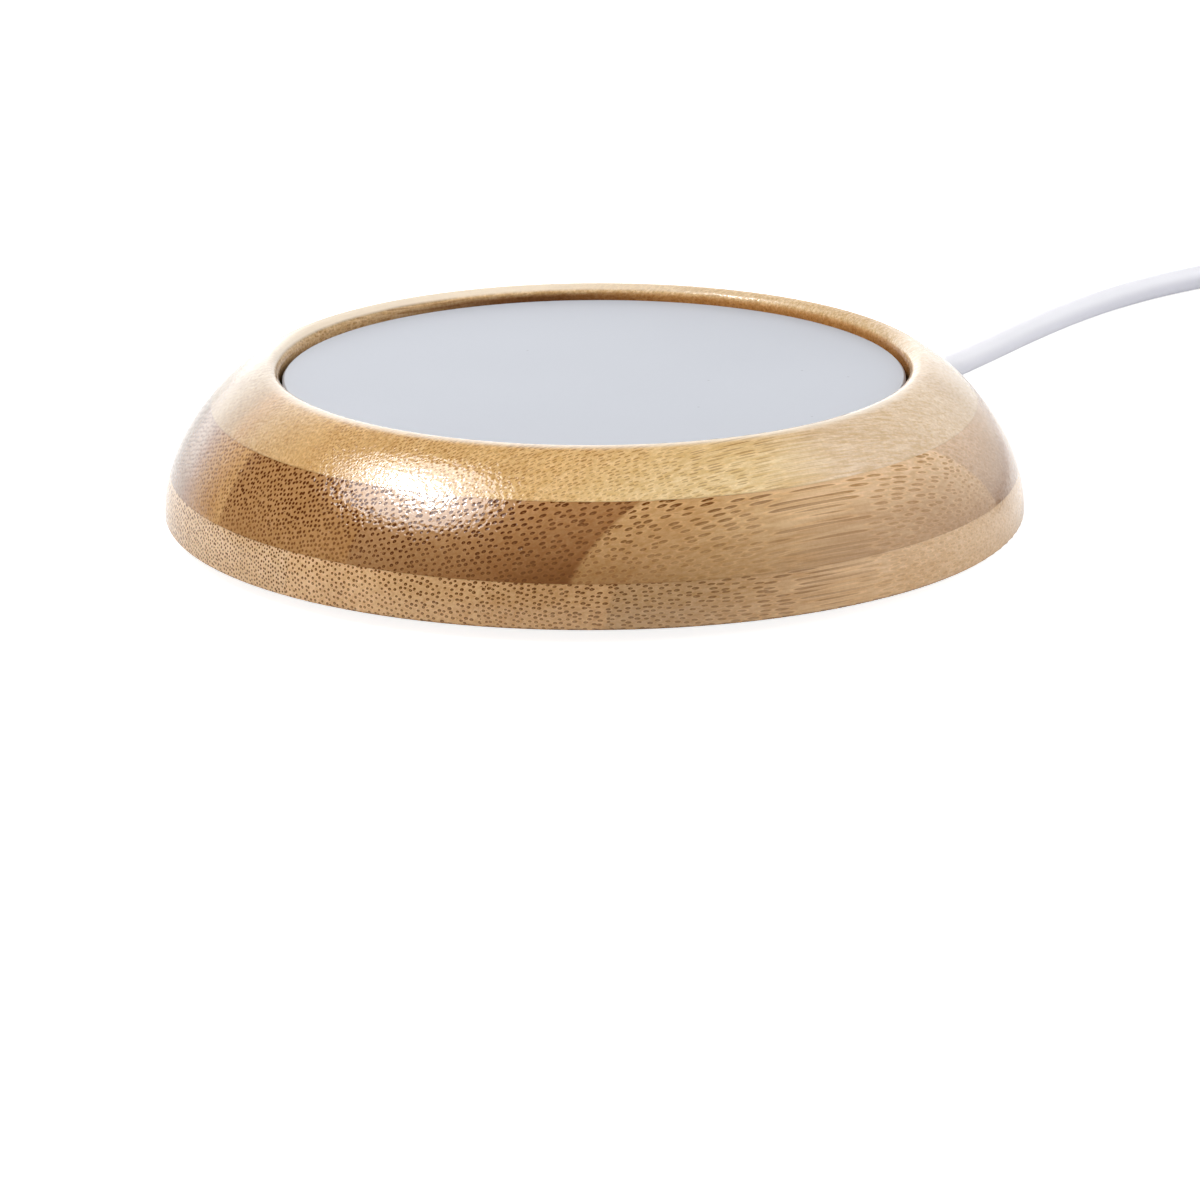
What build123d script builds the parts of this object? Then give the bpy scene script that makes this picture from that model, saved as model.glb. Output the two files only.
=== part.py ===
from build123d import *
import math
import os

os.makedirs("parts", exist_ok=True)

# Electric mug warmer: a laminated bamboo ring round a flush heated plate, fed by a thin
# low-voltage cord. All sizes are in millimetres. Z = 0 is the surface that the feet stand
# on, Z is the ring's axis, and the cord leaves the ring towards +Y.

# ---- driving dimensions -----------------------------------------------------------------

# bamboo ring: three plies glued flat, then turned to one domed outline
outer_radius = 52.5
foot_lift = 1.6
bottom_ply_thick = 5.3
middle_ply_thick = 8.3
top_ply_thick = 4.8
edge_round = 0.33
side_handle = 9.92
crown_radius = 39.73
crown_handle = 2.66
opening_radius = 38.35
bore_radius = 44.5
bore_chamfer = 0.5
shoulder_z = 12.0
cut_overrun = 2.0

wood_low = foot_lift
lower_glue_z = wood_low + bottom_ply_thick
upper_glue_z = lower_glue_z + middle_ply_thick
rim_z = upper_glue_z + top_ply_thick

# heating plate and what lies under it, from the top down
plate_radius = 37.9
plate_thick = 1.5
plate_drop = 1.7
plate_edge = 0.25
seal_radius = 37.8
seal_thick = 0.5
seal_width = 1.2
film_thick = 0.2
film_radius = 34.4
track_thick = 0.1
pad_thick = 3.2
pad_radius = 35.8
pad_hole_slack = 0.4
well_radius = 14.2

plate_top = rim_z - plate_drop
plate_low = plate_top - plate_thick
seal_low = plate_low - seal_thick
film_low = plate_low - film_thick
track_low = film_low - track_thick
pad_low = track_low - pad_thick

# heating track: concentric rings joined by half-round turns beside a lead corridor
track_width = 2.0
track_pitch = 3.2
track_rings = 5
track_outer = 29.0
track_clearance = 1.2
track_exit_round = 2.0
track_pad_radius = 1.8
start_pad_x = -6.5
end_pad_y = 31.0

# heater carrier
carrier_flange_radius = 44.2
carrier_flange_thick = 2.0
carrier_floor_thick = 1.6
carrier_wall_thick = 1.5
rib_thick = 1.2
rib_count = 6
inner_rib_radius = 17.6
outer_rib_radius = 30.1
lead_gap_centre = (-2.5, 23.0)
lead_gap_size = (14.0, 25.0)
slot_centre = (1.8, 12.3)
slot_size = (10.0, 3.8)
slot_round = 1.2

floor_low = shoulder_z - carrier_flange_thick
floor_high = floor_low + carrier_floor_thick
cup_inner_radius = plate_radius - carrier_wall_thick

# screws, as (head radius, head height, shank radius)
machine_screw = (2.2, 1.3, 1.2)
wood_screw = (1.9, 1.3, 1.0)
clamp_screw = (1.7, 1.3, 0.95)
recess_length_share = 1.1
recess_width_share = 0.28
thread_slack = 0.05
hole_slack = 0.2

pillar_circle = 33.6
pillar_count = 3
pillar_angle = 30
pillar_radius = 3.3
plate_boss_radius = 2.4
plate_boss_height = 4.2
plate_screw_length = 5.6

carrier_screw_circle = 40.9
carrier_screw_count = 4
carrier_screw_angle = 45
carrier_screw_length = 7.0
pilot_extra = 0.3

base_screw_circle = 24.0
base_screw_length = 5.8
base_boss_radius = 3.0
base_boss_low = 5.2
base_boss_roof = 0.8

# base cover and feet
cover_radius = 44.2
cover_low = 2.2
cover_thick = 2.0
cover_rim_thick = 1.2
cover_chamfer = 0.5
counterbore_radius = 2.5
counterbore_depth = 1.6
cover_boss_radius = 3.7
cover_rib_height = 1.0
cover_rib_reach = 43.2
fence_x = 2.6
fence_y = 38.8
fence_size = (1.2, 3.6)
notch_slack = 0.4
notch_depth = 4.0
foot_angles = (45, 135, 225, 315)
foot_circle = 36.0
foot_radius = 5.0
foot_height = 3.0
foot_chamfer = 0.6
foot_pocket_slack = 0.1

cover_high = cover_low + cover_thick

# thermostat and thermal fuse, side by side in the pad's well
thermostat_size = (7.5, 15.0, 4.0)
thermostat_round = 0.8
thermostat_x = 5.0
thermostat_post_size = (6.0, 12.0)
sensor_y = -1.0
pin_radius = 0.5
pin_length = 1.2
fuse_x = -5.0
fuse_radius = 2.0
fuse_length = 11.5
fuse_taper = 1.6
fuse_lead_length = 2.25
fuse_cradle_size = (6.0, 9.0)
fuse_cradle_drop = 1.0
sleeve_radius = 2.3
sleeve_length = 13.0
sleeve_slack = 0.05

thermostat_low = film_low - thermostat_size[2]
pin_z = film_low - thermostat_size[2] / 2
fuse_z = film_low - sleeve_radius

# cord, strain relief and clamp
cord_diameter = 3.3
cord_height = 7.0
cord_start_y = 52.0
cord_inner_y = 27.0
cord_hole_radius = 2.85
boot_radius = 2.75
boot_tip_radius = 2.3
boot_taper_y = 53.3
boot_tip_y = 58.5
boot_bore_radius = 1.7
boot_groove_width = 0.5
boot_groove_height = 1.1
boot_groove_places = (55.1, 56.9)
relief_flange_width = 9.0
relief_flange_y = 41.6
relief_flange_thick = 2.3
clamp_y = 31.0
clamp_width = 5.0
clamp_thick = 1.0
clamp_span = 14.8
clamp_screw_x = 5.0
clamp_screw_length = 3.6
clamp_boss_radius = 2.2
clamp_hole_extra = 0.4
saddle_half_width = 2.4
saddle_low = 7.9
cord_lift = 0.05

cord_radius = cord_diameter / 2
table_cord_z = cord_radius + cord_lift

# leads inside the carrier, and where they turn
lead_diameter = 1.2
lead_spread = 0.8
supply_bend_y = 23.0
well_turn_y = -12.2
heater_lead_turns = (9.2, 12.8)
heater_lead_shift = 0.3
supply_bend_radius = 1.8
link_bend_radius = 1.3
channel_bend_radius = 1.5

# the cord's route over the table, and the coil that the rest of it makes
cord_route = [
    (0.0, cord_start_y, cord_height),
    (0.0, 62.5, cord_height),
    (-0.1, 71.0, 3.5),
    (-0.6, 79.5, table_cord_z),
    (-1.5, 91.5, table_cord_z),
    (-2.8, 105.0, table_cord_z),
    (-3.5, 119.0, table_cord_z),
    (-2.7, 133.0, table_cord_z),
    (0.5, 147.0, table_cord_z),
    (5.5, 159.5, table_cord_z),
    (12.0, 166.0, table_cord_z),
]
tail_route = [
    (56.0, 155.0, 4.4),
    (61.5, 147.5, 4.4),
    (64.5, 139.0, 3.9),
    (64.5, 130.0, 3.9),
]
coil_centre = (35.0, 157.0)
coil_inner_radius = 12.85
coil_outer_radius = 26.65
coil_height = 6.2
coil_side_height = 2.3
coil_lean = 1.75

# USB type A plug, along -Y from the end of the cord
plug_boot_length = 6.0
plug_boot_radius = 2.4
plug_width = 15.6
plug_height = 7.8
plug_round = 2.2
plug_body_length = 20.0
shell_width = 12.0
shell_height = 4.5
shell_length = 11.8
shell_wall = 0.3
shell_round = 0.6
window_size = (2.5, 2.0)
window_x = 2.9
window_inset = 5.2
tongue_width = 10.8
tongue_height = 1.9
tongue_length = 11.0
contact_setback = 0.8
contact_size = (1.0, 8.0, 0.15)
contact_places = (-3.5, -1.0, 1.0, 3.5)


# ---- helpers ----------------------------------------------------------------------------


def rear_plane(y):
    """A plane across the cord's axis at y, facing away from the ring."""
    return Plane(origin=(0, y, cord_height), x_dir=(-1, 0, 0), z_dir=(0, 1, 0))


def lengthwise_plane(x, z):
    """An upright plane along Y through x, whose own origin lies at height z."""
    return Plane(origin=(x, 0, z), x_dir=(0, 1, 0), z_dir=(1, 0, 0))


def screw_group(places, seat_z, size, length, recess=False):
    """Pan-head screws driven upwards, with their heads under seat_z."""
    head_radius, head_height, shank_radius = size
    with BuildPart() as group:
        with BuildSketch(Plane.XY.offset(seat_z)):
            with places:
                Circle(head_radius)
        extrude(amount=-head_height)
        chamfer(group.edges().group_by(Axis.Z)[0], head_height / 3)
        with BuildSketch(Plane.XY.offset(seat_z)):
            with places:
                Circle(shank_radius)
        extrude(amount=length)
        if recess:
            with BuildSketch(Plane.XY.offset(seat_z - head_height)):
                with places:
                    Rectangle(head_radius * recess_length_share, head_radius * recess_width_share)
                    Rectangle(head_radius * recess_width_share, head_radius * recess_length_share)
            extrude(amount=head_height / 2, mode=Mode.SUBTRACT)
    return group


def bend_radii(points):
    """The largest tangent arc that the shorter run leaves room for at each corner."""
    corners = [Vector(*point) for point in points]
    radii = []
    for before, corner, after in zip(corners, corners[1:], corners[2:]):
        shorter_run = min((corner - before).length, (after - corner).length)
        half_turn = math.radians((corner - before).get_angle(after - corner)) / 2
        radii.append(0.45 * shorter_run / math.tan(half_turn))
    return radii


def tube(points, diameter, radii):
    """A round tube along straight runs joined by tangent arcs."""
    with BuildPart() as piece:
        with BuildLine():
            path = FilletPolyline(*points, radius=radii)
        with BuildSketch(Plane(origin=path @ 0, z_dir=path % 0)):
            Circle(diameter / 2)
        sweep(path=path)
    section_volume = math.pi * diameter**2 / 4 * path.length
    print(f"tube {path.length:.1f} mm, volume share {piece.part.volume / section_volume:.4f}")
    return piece


pillar_places = PolarLocations(pillar_circle, pillar_count, start_angle=pillar_angle)
base_screw_places = PolarLocations(base_screw_circle, pillar_count, start_angle=pillar_angle)
carrier_screw_places = PolarLocations(
    carrier_screw_circle, carrier_screw_count, start_angle=carrier_screw_angle
)
clamp_screw_places = Locations(
    (-clamp_screw_x, clamp_y + clamp_width / 2), (clamp_screw_x, clamp_y + clamp_width / 2)
)

# ---- bamboo ring ------------------------------------------------------------------------

# The dome is one cubic curve from the upright side to the flat crown. The rim rolls over
# into the opening, and the underside is bored out to a shoulder for the heater carrier.
rim_round = crown_radius - opening_radius
with BuildPart() as bamboo_ring:
    with BuildSketch(Plane.XZ):
        with BuildLine():
            underside = Line(
                (bore_radius + bore_chamfer, wood_low), (outer_radius - edge_round, wood_low)
            )
            foot_edge = TangentArc(
                underside @ 1, (outer_radius, wood_low + edge_round), tangent=(1, 0)
            )
            dome = Bezier(
                foot_edge @ 1,
                (outer_radius, wood_low + edge_round + side_handle),
                (crown_radius + crown_handle, rim_z),
                (crown_radius, rim_z),
            )
            rim = TangentArc(dome @ 1, (opening_radius, rim_z - rim_round), tangent=(-1, 0))
            Polyline(
                rim @ 1,
                (opening_radius, shoulder_z),
                (bore_radius, shoulder_z),
                (bore_radius, wood_low + bore_chamfer),
                underside @ 0,
            )
        make_face()
    revolve(axis=Axis.Z)
    # pilot holes for the carrier's screws, up from the shoulder
    with BuildSketch(Plane.XY.offset(shoulder_z)):
        with carrier_screw_places:
            Circle(wood_screw[2] + thread_slack)
    extrude(amount=carrier_screw_length - carrier_flange_thick + pilot_extra, mode=Mode.SUBTRACT)
    # cord hole through the wall
    with BuildSketch(rear_plane(bore_radius - cut_overrun)):
        Circle(cord_hole_radius)
    extrude(amount=outer_radius - bore_radius + 2 * cut_overrun, mode=Mode.SUBTRACT)

for name, low, high in (
    ("bamboo_bottom_ply", wood_low, lower_glue_z),
    ("bamboo_middle_ply", lower_glue_z, upper_glue_z),
    ("bamboo_top_ply", upper_glue_z, rim_z),
):
    with BuildPart() as ply:
        add(bamboo_ring.part)
        with BuildSketch(Plane.XY.offset(low)):
            Circle(outer_radius + cut_overrun)
        extrude(amount=high - low, mode=Mode.INTERSECT)
    ply.part.label = name
    export_step(ply.part, f"parts/{name}.step")

# ---- heating plate ----------------------------------------------------------------------

with BuildPart() as heating_plate:
    with BuildSketch(Plane.XY.offset(plate_low)):
        Circle(plate_radius)
    extrude(amount=plate_thick)
    chamfer(heating_plate.edges().group_by(Axis.Z)[-1], plate_edge)
    # tapped bosses under the plate
    with BuildSketch(Plane.XY.offset(plate_low)):
        with pillar_places:
            Circle(plate_boss_radius)
    extrude(amount=-plate_boss_height)
    with BuildSketch(Plane.XY.offset(plate_low - plate_boss_height)):
        with pillar_places:
            Circle(machine_screw[2] + thread_slack)
    extrude(amount=plate_boss_height, mode=Mode.SUBTRACT)
heating_plate.part.label = "heating_plate"
export_step(heating_plate.part, "parts/heating_plate.step")

with BuildPart() as plate_seal:
    with BuildSketch(Plane.XY.offset(seal_low)):
        Circle(seal_radius)
        Circle(seal_radius - seal_width, mode=Mode.SUBTRACT)
    extrude(amount=seal_thick)
plate_seal.part.label = "plate_seal"
export_step(plate_seal.part, "parts/plate_seal.step")

# ---- heater film and its track ----------------------------------------------------------

with BuildPart() as heater_film:
    with BuildSketch(Plane.XY.offset(film_low)):
        Circle(film_radius)
        with pillar_places:
            Circle(pillar_radius, mode=Mode.SUBTRACT)
    extrude(amount=film_thick)
heater_film.part.label = "heater_film"
export_step(heater_film.part, "parts/heater_film.step")

# The track runs round the outer ring, turns back at the corridor into the next ring, and
# so on inwards. From the last ring it bends into the corridor and runs out to its end pad.
ring_radii = [track_outer - ring * track_pitch for ring in range(track_rings)]
corridor_half = track_width + track_clearance + track_pitch / 2
turn_angles = [
    math.degrees(math.asin(corridor_half / (radius - track_pitch / 2)))
    for radius in ring_radii[:-1]
]
start_angle = math.degrees(math.asin(-start_pad_x / track_outer))
exit_radius = ring_radii[-1] + track_exit_round
exit_angle = math.degrees(math.asin(track_exit_round / exit_radius))
left_angles = [start_angle] + [turn_angles[k - 1 + k % 2] for k in range(1, track_rings)]
right_angles = [turn_angles[k - k % 2] for k in range(track_rings - 1)] + [exit_angle]
start_pad = (start_pad_x, track_outer * math.cos(math.radians(start_angle)))
end_pad = (0, end_pad_y)

with BuildPart() as heater_track:
    with BuildSketch(Plane.XY.offset(track_low)):
        with BuildLine():
            for radius, left, right in zip(ring_radii, left_angles, right_angles):
                CenterArc((0, 0), radius, 90 + left, 360 - left - right)
            for turn, angle in enumerate(turn_angles):
                side = -1 if turn % 2 else 1
                heading = 90 - side * angle
                middle = ring_radii[turn] - track_pitch / 2
                centre = Vector(middle, 0).rotate(Axis.Z, heading)
                CenterArc(centre, track_pitch / 2, heading, side * 180)
            bend_centre = Vector(exit_radius, 0).rotate(Axis.Z, 90 - exit_angle)
            CenterArc(bend_centre, track_exit_round, 270 - exit_angle, exit_angle - 90)
            Line((0, bend_centre.Y), end_pad)
        trace(line_width=track_width)
        with Locations(start_pad, end_pad):
            Circle(track_pad_radius)
    extrude(amount=track_thick)
heater_track.part.label = "heater_track"
export_step(heater_track.part, "parts/heater_track.step")

# ---- insulation pad ---------------------------------------------------------------------

with BuildPart() as insulation_pad:
    with BuildSketch(Plane.XY.offset(pad_low)):
        Circle(pad_radius)
        Circle(well_radius, mode=Mode.SUBTRACT)
        with pillar_places:
            Circle(plate_boss_radius + pad_hole_slack, mode=Mode.SUBTRACT)
        with Locations(start_pad, end_pad):
            Circle(lead_diameter, mode=Mode.SUBTRACT)
    extrude(amount=pad_thick)
insulation_pad.part.label = "insulation_pad"
export_step(insulation_pad.part, "parts/insulation_pad.step")

# ---- thermostat and thermal fuse --------------------------------------------------------

with BuildPart() as thermostat:
    with BuildSketch(Plane.XY.offset(thermostat_low)):
        with Locations((thermostat_x, sensor_y)):
            RectangleRounded(thermostat_size[0], thermostat_size[1], thermostat_round)
    extrude(amount=thermostat_size[2])
    # a round pin stands out of each end
    pin_plane = Plane(
        origin=(thermostat_x, sensor_y - thermostat_size[1] / 2 - pin_length, pin_z),
        x_dir=(-1, 0, 0),
        z_dir=(0, 1, 0),
    )
    with BuildSketch(pin_plane):
        Circle(pin_radius)
    extrude(amount=thermostat_size[1] + 2 * pin_length)
thermostat.part.label = "thermostat"
export_step(thermostat.part, "parts/thermostat.step")

fuse_axis = Axis((fuse_x, 0, fuse_z), (0, 1, 0))
fuse_low_y = sensor_y - fuse_length / 2
fuse_high_y = sensor_y + fuse_length / 2
with BuildPart() as thermal_fuse:
    with BuildSketch(lengthwise_plane(fuse_x, fuse_z)):
        with BuildLine():
            Polyline(
                (fuse_low_y - fuse_lead_length, 0),
                (fuse_low_y - fuse_lead_length, pin_radius),
                (fuse_low_y, pin_radius),
                (fuse_low_y, fuse_radius),
                (fuse_high_y - fuse_taper, fuse_radius),
                (fuse_high_y, pin_radius),
                (fuse_high_y + fuse_lead_length, pin_radius),
                (fuse_high_y + fuse_lead_length, 0),
                close=True,
            )
        make_face()
    revolve(axis=fuse_axis)
thermal_fuse.part.label = "thermal_fuse"
export_step(thermal_fuse.part, "parts/thermal_fuse.step")

with BuildPart() as fuse_sleeve:
    with BuildSketch(
        Plane(
            origin=(fuse_x, sensor_y - sleeve_length / 2, fuse_z),
            x_dir=(-1, 0, 0),
            z_dir=(0, 1, 0),
        )
    ):
        Circle(sleeve_radius)
        Circle(fuse_radius + sleeve_slack, mode=Mode.SUBTRACT)
    extrude(amount=sleeve_length)
fuse_sleeve.part.label = "fuse_sleeve"
export_step(fuse_sleeve.part, "parts/fuse_sleeve.step")

# ---- heater carrier ---------------------------------------------------------------------

with BuildPart() as heater_carrier:
    # flanged cup, turned in one profile
    with BuildSketch(Plane.XZ):
        with BuildLine():
            Polyline(
                (0, floor_low),
                (carrier_flange_radius, floor_low),
                (carrier_flange_radius, shoulder_z),
                (plate_radius, shoulder_z),
                (plate_radius, seal_low),
                (cup_inner_radius, seal_low),
                (cup_inner_radius, floor_high),
                (0, floor_high),
                close=True,
            )
        make_face()
    revolve(axis=Axis.Z)
    # ribs that carry the pad, open over the lead channel
    with BuildSketch(Plane.XY.offset(floor_high)):
        for rib_radius in (outer_rib_radius, inner_rib_radius):
            Circle(rib_radius + rib_thick / 2)
            Circle(rib_radius - rib_thick / 2, mode=Mode.SUBTRACT)
        with PolarLocations((inner_rib_radius + cup_inner_radius) / 2, rib_count):
            Rectangle(cup_inner_radius - inner_rib_radius, rib_thick)
        with Locations(lead_gap_centre):
            Rectangle(*lead_gap_size, mode=Mode.SUBTRACT)
    extrude(amount=pad_low - floor_high)
    # pillars under the plate's bosses
    with BuildSketch(Plane.XY.offset(floor_high)):
        with pillar_places:
            Circle(pillar_radius)
    extrude(amount=plate_low - plate_boss_height - floor_high)
    # post under the thermostat and cradle under the fuse
    with BuildSketch(Plane.XY.offset(floor_high)):
        with Locations((thermostat_x, sensor_y)):
            Rectangle(*thermostat_post_size)
    extrude(amount=thermostat_low - floor_high)
    with BuildSketch(Plane.XY.offset(floor_high)):
        with Locations((fuse_x, sensor_y)):
            Rectangle(*fuse_cradle_size)
    extrude(amount=fuse_z - floor_high - fuse_cradle_drop)
    with BuildSketch(
        Plane(
            origin=(fuse_x, sensor_y - sleeve_length / 2, fuse_z),
            x_dir=(-1, 0, 0),
            z_dir=(0, 1, 0),
        )
    ):
        Circle(sleeve_radius)
    extrude(amount=sleeve_length, mode=Mode.SUBTRACT)
    # bosses for the base cover, clamp bosses and the saddle over the cord
    with BuildSketch(Plane.XY.offset(base_boss_low)):
        with base_screw_places:
            Circle(base_boss_radius)
    extrude(amount=floor_low - base_boss_low)
    with BuildSketch(Plane.XY.offset(cord_height)):
        with clamp_screw_places:
            Circle(clamp_boss_radius)
    extrude(amount=floor_low - cord_height)
    with BuildSketch(Plane.XY.offset(saddle_low)):
        with Locations((0, clamp_y + clamp_width / 2)):
            Rectangle(2 * saddle_half_width, clamp_width)
    extrude(amount=floor_low - saddle_low)
    with BuildSketch(rear_plane(clamp_y)):
        Circle(cord_radius)
    extrude(amount=clamp_width, mode=Mode.SUBTRACT)
    # screw holes, from below
    with BuildSketch(Plane.XY.offset(floor_low)):
        with pillar_places:
            Circle(machine_screw[2] + hole_slack)
    extrude(amount=shoulder_z, mode=Mode.SUBTRACT)
    with BuildSketch(Plane.XY.offset(floor_low)):
        with carrier_screw_places:
            Circle(wood_screw[2] + hole_slack)
    extrude(amount=carrier_flange_thick, mode=Mode.SUBTRACT)
    with BuildSketch(Plane.XY.offset(base_boss_low)):
        with base_screw_places:
            Circle(machine_screw[2] + thread_slack)
    extrude(amount=floor_high - base_boss_low - base_boss_roof, mode=Mode.SUBTRACT)
    with BuildSketch(Plane.XY.offset(cord_height)):
        with clamp_screw_places:
            Circle(clamp_screw[2] + thread_slack)
    extrude(amount=floor_low - cord_height + clamp_hole_extra, mode=Mode.SUBTRACT)
    # slot that lets the leads up into the well
    with BuildSketch(Plane.XY.offset(floor_low)):
        with Locations(slot_centre):
            RectangleRounded(*slot_size, slot_round)
    extrude(amount=carrier_floor_thick, mode=Mode.SUBTRACT)
heater_carrier.part.label = "heater_carrier"
export_step(heater_carrier.part, "parts/heater_carrier.step")

# ---- base cover -------------------------------------------------------------------------

with BuildPart() as base_cover:
    # dished disc whose rim stands against the carrier's flange
    with BuildSketch(Plane.XZ):
        with BuildLine():
            Polyline(
                (0, cover_low),
                (cover_radius - cover_chamfer, cover_low),
                (cover_radius, cover_low + cover_chamfer),
                (cover_radius, floor_low),
                (cover_radius - cover_rim_thick, floor_low),
                (cover_radius - cover_rim_thick, cover_high),
                (0, cover_high),
                close=True,
            )
        make_face()
    revolve(axis=Axis.Z)
    # inner ribs
    with BuildSketch(Plane.XY.offset(cover_high)):
        Circle(inner_rib_radius + rib_thick / 2)
        Circle(inner_rib_radius - rib_thick / 2, mode=Mode.SUBTRACT)
        with PolarLocations((inner_rib_radius + cover_rib_reach) / 2, rib_count):
            Rectangle(cover_rib_reach - inner_rib_radius, rib_thick)
    extrude(amount=cover_rib_height)
    # screw bosses
    with BuildSketch(Plane.XY.offset(cover_high)):
        with base_screw_places:
            Circle(cover_boss_radius)
    extrude(amount=base_boss_low - cover_high)
    # fences that keep the cord in line behind the clamp
    with BuildSketch(Plane.XY.offset(cover_high)):
        with Locations((-fence_x, fence_y), (fence_x, fence_y)):
            Rectangle(*fence_size)
    extrude(amount=cord_height - cover_high)
    # counterbored screw holes
    with BuildSketch(Plane.XY.offset(cover_low)):
        with base_screw_places:
            Circle(counterbore_radius)
    extrude(amount=counterbore_depth, mode=Mode.SUBTRACT)
    with BuildSketch(Plane.XY.offset(cover_low)):
        with base_screw_places:
            Circle(machine_screw[2] + hole_slack)
    extrude(amount=base_boss_low - cover_low, mode=Mode.SUBTRACT)
    # shallow pockets for the feet
    with BuildSketch(Plane.XY.offset(cover_low)):
        with PolarLocations(foot_circle, len(foot_angles), start_angle=foot_angles[0]):
            Circle(foot_radius + foot_pocket_slack)
    extrude(amount=foot_height - cover_low, mode=Mode.SUBTRACT)
    # notch in the rim for the strain relief's flange
    with BuildSketch(Plane.XY.offset(cover_high)):
        with Locations((0, cover_radius)):
            Rectangle(relief_flange_width + notch_slack, notch_depth)
    extrude(amount=floor_low - cover_high, mode=Mode.SUBTRACT)
base_cover.part.label = "base_cover"
export_step(base_cover.part, "parts/base_cover.step")

for foot, angle in enumerate(foot_angles, start=1):
    with BuildPart() as rubber_foot:
        with BuildSketch(Plane.XY):
            with PolarLocations(foot_circle, 1, start_angle=angle):
                Circle(foot_radius)
        extrude(amount=foot_height)
        chamfer(rubber_foot.edges().group_by(Axis.Z)[0], foot_chamfer)
    rubber_foot.part.label = f"rubber_foot_{foot}"
    export_step(rubber_foot.part, f"parts/rubber_foot_{foot}.step")

# ---- screws -----------------------------------------------------------------------------

plate_screws = screw_group(pillar_places, floor_low, machine_screw, plate_screw_length)
plate_screws.part.label = "plate_screws"
export_step(plate_screws.part, "parts/plate_screws.step")

carrier_screws = screw_group(carrier_screw_places, floor_low, wood_screw, carrier_screw_length)
carrier_screws.part.label = "carrier_screws"
export_step(carrier_screws.part, "parts/carrier_screws.step")

base_screws = screw_group(
    base_screw_places, cover_low + counterbore_depth, machine_screw, base_screw_length, recess=True
)
base_screws.part.label = "base_screws"
export_step(base_screws.part, "parts/base_screws.step")

clamp_screws = screw_group(
    clamp_screw_places, cord_height - clamp_thick, clamp_screw, clamp_screw_length
)
clamp_screws.part.label = "clamp_screws"
export_step(clamp_screws.part, "parts/clamp_screws.step")

# ---- strain relief and clamp ------------------------------------------------------------

relief_face_y = relief_flange_y + relief_flange_thick
with BuildPart() as strain_relief:
    # boot round the cord, with flexing grooves towards its tip
    with BuildSketch(lengthwise_plane(0, cord_height)):
        with BuildLine():
            Polyline(
                (relief_flange_y, boot_bore_radius),
                (relief_flange_y, boot_radius),
                (boot_taper_y, boot_radius),
                (boot_tip_y, boot_tip_radius),
                (boot_tip_y, boot_bore_radius),
                close=True,
            )
        make_face()
        with Locations(*[(y, boot_radius) for y in boot_groove_places]):
            Rectangle(boot_groove_width, boot_groove_height, mode=Mode.SUBTRACT)
    revolve(axis=Axis((0, 0, cord_height), (0, 1, 0)))
    # square flange inside the bore, held between the cover and the carrier
    with BuildSketch(Plane.XY.offset(cover_high)):
        with Locations((0, relief_flange_y + relief_flange_thick / 2)):
            Rectangle(relief_flange_width, relief_flange_thick)
    extrude(amount=floor_low - cover_high)
    with BuildSketch(rear_plane(relief_flange_y)):
        Circle(boot_bore_radius)
    extrude(amount=relief_flange_thick, mode=Mode.SUBTRACT)
strain_relief.part.label = "strain_relief"
export_step(strain_relief.part, "parts/strain_relief.step")

with BuildPart() as cord_clamp:
    # strap with a half-round belly under the cord and a flat ear each side
    with BuildSketch(rear_plane(clamp_y)):
        Circle(cord_radius + clamp_thick)
        with Locations((0, clamp_span / 4)):
            Rectangle(clamp_span, clamp_span / 2, mode=Mode.SUBTRACT)
        with Locations((0, -clamp_thick / 2)):
            Rectangle(clamp_span, clamp_thick)
        Circle(cord_radius, mode=Mode.SUBTRACT)
    extrude(amount=clamp_width)
    with BuildSketch(Plane.XY.offset(cord_height - clamp_thick)):
        with clamp_screw_places:
            Circle(clamp_screw[2] + hole_slack)
    extrude(amount=clamp_thick, mode=Mode.SUBTRACT)
cord_clamp.part.label = "cord_clamp"
export_step(cord_clamp.part, "parts/cord_clamp.step")

# ---- cord and leads ---------------------------------------------------------------------

with BuildPart() as usb_cord_inner_end:
    with BuildSketch(rear_plane(cord_inner_y)):
        Circle(cord_radius)
    extrude(amount=cord_start_y - cord_inner_y)
usb_cord_inner_end.part.label = "usb_cord_inner_end"
export_step(usb_cord_inner_end.part, "parts/usb_cord_inner_end.step")

slot_y = slot_centre[1]
channel_z = (floor_high + pad_low) / 2
pin_y = sensor_y + thermostat_size[1] / 2 + pin_length
fuse_tip_y = fuse_length / 2 + fuse_lead_length

supply_lead = tube(
    [
        (lead_spread, cord_inner_y, cord_height),
        (lead_spread, supply_bend_y, cord_height),
        (thermostat_x, slot_y, cord_height),
        (thermostat_x, slot_y, pin_z),
        (thermostat_x, pin_y, pin_z),
    ],
    lead_diameter,
    supply_bend_radius,
)
supply_lead.part.label = "supply_lead"
export_step(supply_lead.part, "parts/supply_lead.step")

link_lead = tube(
    [
        (thermostat_x, sensor_y - thermostat_size[1] / 2 - pin_length, pin_z),
        (thermostat_x, well_turn_y, pin_z),
        (fuse_x, well_turn_y, fuse_z),
        (fuse_x, sensor_y - fuse_tip_y, fuse_z),
    ],
    lead_diameter,
    link_bend_radius,
)
link_lead.part.label = "link_lead"
export_step(link_lead.part, "parts/link_lead.step")

heater_lead = tube(
    [
        (fuse_x, sensor_y + fuse_tip_y, fuse_z),
        (fuse_x, heater_lead_turns[0], fuse_z),
        (fuse_x - heater_lead_shift, heater_lead_turns[1], channel_z),
        (start_pad[0], start_pad[1], channel_z),
        (start_pad[0], start_pad[1], track_low),
    ],
    lead_diameter,
    channel_bend_radius,
)
heater_lead.part.label = "heater_lead"
export_step(heater_lead.part, "parts/heater_lead.step")

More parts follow.
